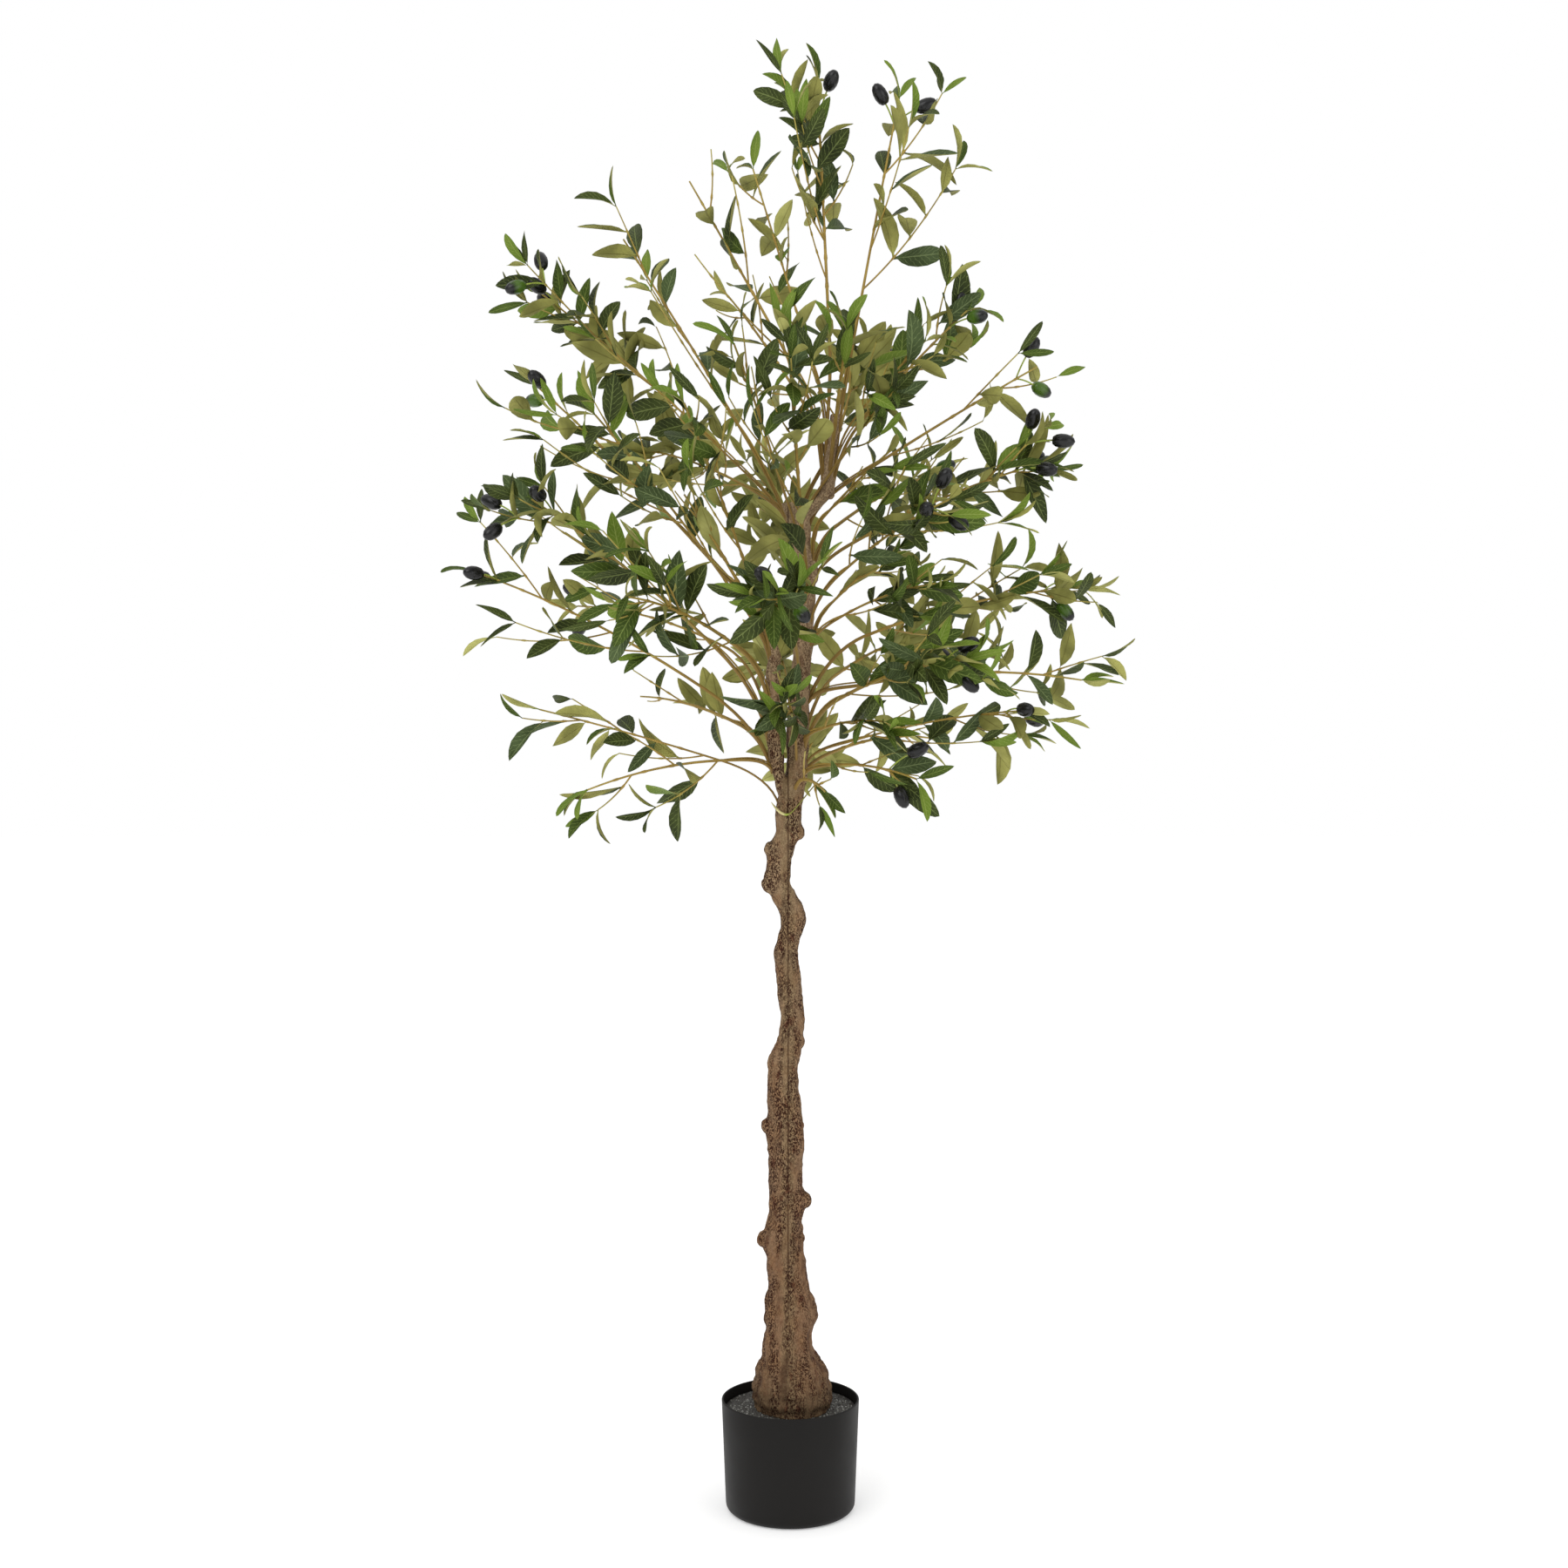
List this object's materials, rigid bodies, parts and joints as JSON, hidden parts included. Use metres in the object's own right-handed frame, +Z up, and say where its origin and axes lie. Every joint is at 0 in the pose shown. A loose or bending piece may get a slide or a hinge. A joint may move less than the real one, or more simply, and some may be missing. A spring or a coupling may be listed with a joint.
{
  "type": "artificial olive tree",
  "caption": "Artificial olive tree with a winding moulded trunk, short boughs, wire-cored stems, cloth leaves and plastic olives, standing in a plain round pot.",
  "frame": {"origin": "centre of the pot's flat underside", "axes": "+Z up along the trunk, -Y towards the front, +X towards the tree's right as seen from the front"},
  "size_m": [0.8671, 0.5831, 1.7856],
  "materials": {
    "pot_plastic": "satin",
    "gravel_fill": "matte",
    "bark_plastic": "matte",
    "foliage_cloth": "matte"
  },
  "bodies": {
    "root": {"pot": "pot_plastic", "soil": "gravel_fill", "trunk": "bark_plastic", "left_bough": "bark_plastic", "right_bough": "bark_plastic", "stub_bough": "bark_plastic", "foliage_crown_far_left": "foliage_cloth", "foliage_crown_inner_left": "foliage_cloth", "foliage_crown_left": "foliage_cloth", "foliage_crown_right": "foliage_cloth", "foliage_high_back": "foliage_cloth", "foliage_high_back_left": "foliage_cloth", "foliage_high_back_right": "foliage_cloth", "foliage_high_front": "foliage_cloth", "foliage_high_front_left": "foliage_cloth", "foliage_high_front_right": "foliage_cloth", "foliage_high_left": "foliage_cloth", "foliage_high_left_top": "foliage_cloth", "foliage_high_right": "foliage_cloth", "foliage_high_right_top": "foliage_cloth", "foliage_inner_front_right": "foliage_cloth", "foliage_inner_high_left": "foliage_cloth", "foliage_inner_high_right": "foliage_cloth", "foliage_inner_low_right": "foliage_cloth", "foliage_inner_mid_left": "foliage_cloth", "foliage_inner_mid_right": "foliage_cloth", "foliage_low_back": "foliage_cloth", "foliage_low_back_left": "foliage_cloth", "foliage_low_back_right": "foliage_cloth", "foliage_low_front": "foliage_cloth", "foliage_low_front_right": "foliage_cloth", "foliage_low_left": "foliage_cloth", "foliage_low_left_drop": "foliage_cloth", "foliage_low_right": "foliage_cloth", "foliage_low_right_front": "foliage_cloth", "foliage_mid_back": "foliage_cloth", "foliage_mid_back_left": "foliage_cloth", "foliage_mid_back_right": "foliage_cloth", "foliage_mid_front": "foliage_cloth", "foliage_mid_front_left": "foliage_cloth", "foliage_mid_front_right": "foliage_cloth", "foliage_mid_left": "foliage_cloth", "foliage_mid_left_front": "foliage_cloth", "foliage_mid_right": "foliage_cloth", "foliage_mid_right_low": "foliage_cloth", "foliage_peak_back_left": "foliage_cloth", "foliage_peak_back_right": "foliage_cloth", "foliage_peak_front": "foliage_cloth", "foliage_peak_front_left": "foliage_cloth", "foliage_peak_front_right": "foliage_cloth", "foliage_peak_inner_right": "foliage_cloth", "foliage_peak_left": "foliage_cloth", "foliage_peak_right": "foliage_cloth"}
  },
  "joints": []
}
